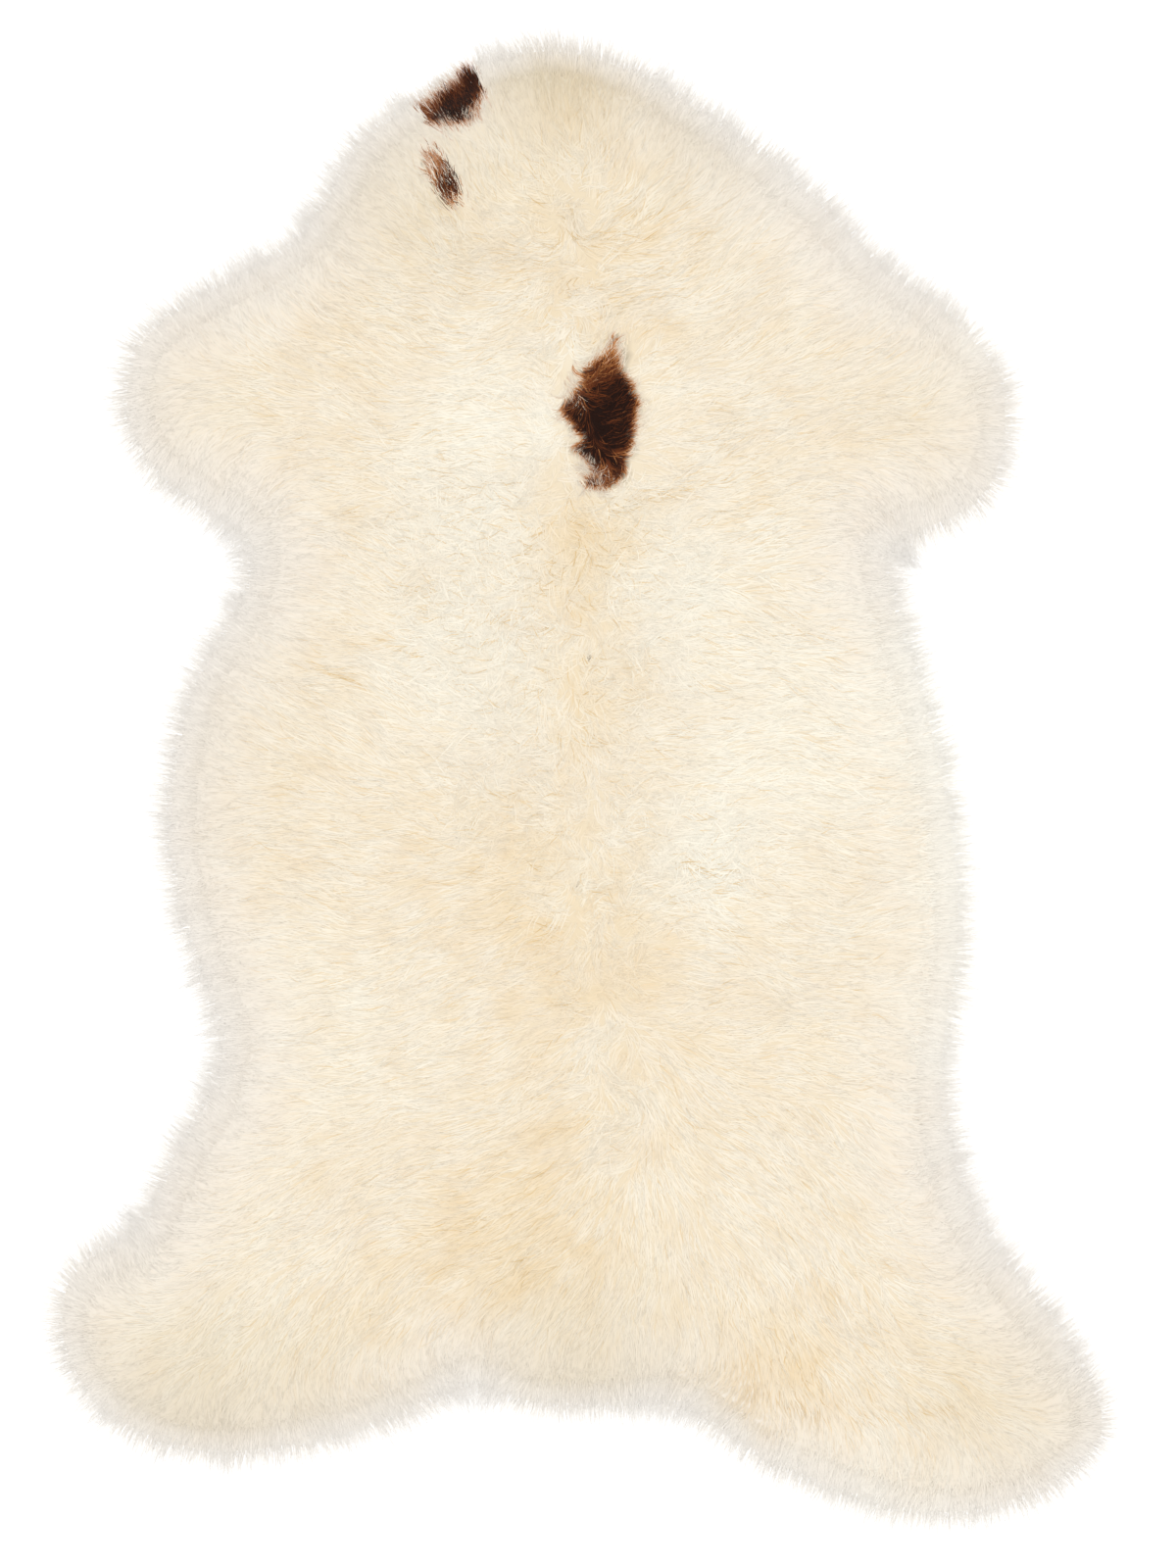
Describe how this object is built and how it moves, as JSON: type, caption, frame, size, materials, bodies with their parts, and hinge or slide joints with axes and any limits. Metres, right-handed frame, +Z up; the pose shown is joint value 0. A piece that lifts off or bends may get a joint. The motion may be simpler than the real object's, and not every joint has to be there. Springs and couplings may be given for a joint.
{
  "type": "sheepskin rug",
  "caption": "Whole natural sheepskin laid flat, wool up: long cream pile on a tanned hide, with leg and neck lobes and brown patches.",
  "frame": {"origin": "on the floor under the middle of the rug", "axes": "+Y along the back towards the neck, +X to the right seen from above, +Z up out of the wool"},
  "size_m": [0.7668, 1.0657, 0.0536],
  "materials": {
    "wool": "long soft cream sheep's wool with warm and light locks and natural brown patches",
    "tanned_hide": "tanned skin side, pale tan suede nap"
  },
  "bodies": {
    "root": {"hide": "tanned_hide", "fleece": "wool"}
  },
  "joints": []
}
